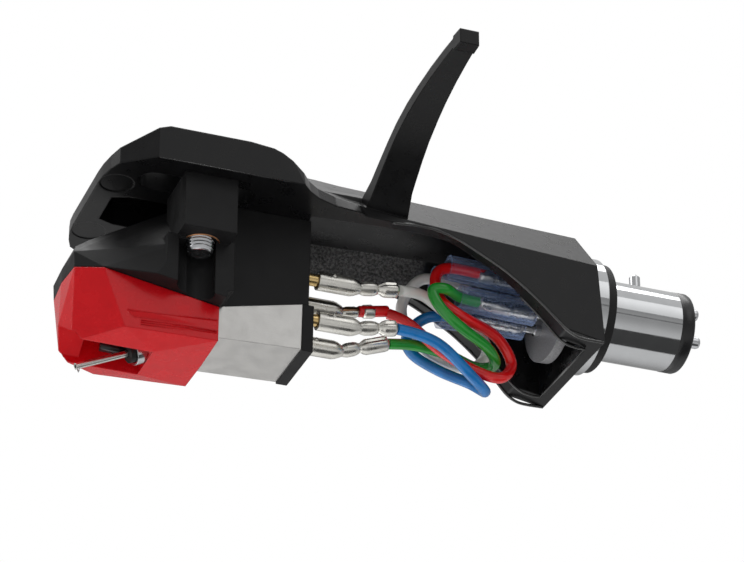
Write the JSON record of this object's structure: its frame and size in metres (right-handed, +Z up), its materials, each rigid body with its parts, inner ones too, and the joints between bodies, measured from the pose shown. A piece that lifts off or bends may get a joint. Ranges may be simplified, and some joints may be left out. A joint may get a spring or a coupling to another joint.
{
  "type": "headshell-mounted phono cartridge",
  "caption": "Moving-magnet phono cartridge with removable stylus, screwed under a bayonet headshell with a finger lift and coloured leads, for a turntable's tonearm.",
  "frame": {"origin": "on the connector's axis, in the plane where the rubber gasket seats against the tonearm's socket", "axes": "+X along the connector's sleeve into the tonearm, -X towards the nose, +Z up and away from the record, the finger lift on -Y"},
  "size_m": [0.0649, 0.039, 0.0262],
  "materials": {
    "black_lacquer": "satin",
    "chrome": "polished",
    "black_rubber": "matte",
    "black_plastic": "satin",
    "black_resin": "satin",
    "clear_plastic": "satin",
    "gold": "polished",
    "blue_tube": "glossy",
    "red_insulation": "glossy",
    "green_insulation": "glossy",
    "white_insulation": "glossy",
    "blue_insulation": "glossy",
    "clip_metal": "satin",
    "steel": "satin",
    "brass": "satin",
    "shield_metal": "satin",
    "copper": "satin",
    "red_plastic": "glossy",
    "aluminium_tube": "satin",
    "diamond": "polished"
  },
  "bodies": {
    "headshell": {"headshell": "black_lacquer", "connector_sleeve": "chrome", "guide_pin": "chrome", "gasket": "black_rubber", "pin_carrier": "black_plastic", "terminal_disc": "clear_plastic", "contact_pin_1": "steel", "contact_pin_2": "steel", "contact_pin_3": "steel", "contact_pin_4": "steel", "tube_red": "blue_tube", "tube_green": "blue_tube", "tube_white": "blue_tube", "tube_blue": "blue_tube", "lead_red": "red_insulation", "lead_green": "green_insulation", "lead_white": "white_insulation", "lead_blue": "blue_insulation", "clip_red": "clip_metal", "clip_green": "clip_metal", "clip_white": "clip_metal", "clip_blue": "clip_metal", "screw_near": "steel", "screw_far": "steel", "washer_near": "steel", "washer_far": "steel", "cartridge_body": "black_resin", "insert_near": "brass", "insert_far": "brass", "shield_can": "shield_metal", "rear_cover": "black_resin", "pin_red": "gold", "pin_green": "gold", "pin_white": "gold", "pin_blue": "gold", "coil_near": "copper", "coil_far": "copper", "core_near": "steel", "core_far": "steel"},
    "stylus": {"stylus_holder": "red_plastic", "suspension_ring": "steel"},
    "damper": {"damper": "black_rubber"},
    "cantilever": {"cantilever": "aluminium_tube", "magnet_near": "steel", "magnet_far": "steel", "stylus_tip": "diamond"}
  },
  "joints": [
    {"name": "stylus_slide", "type": "slide", "parent": "headshell", "child": "stylus", "axis": [-1, 0, 0], "range_m": [0, 0.012]},
    {"name": "cantilever_swing", "type": "hinge", "parent": "stylus", "child": "damper", "pos_m": [-0.047, 0, -0.0123], "axis": [0, 0, 1], "range_deg": [-3, 3], "stiffness_Nm_per_rad": 0.002},
    {"name": "cantilever_lift", "type": "hinge", "parent": "damper", "child": "cantilever", "pos_m": [-0.047, 0, -0.0123], "axis": [0, 1, 0], "range_deg": [-3, 3], "stiffness_Nm_per_rad": 0.002}
  ]
}
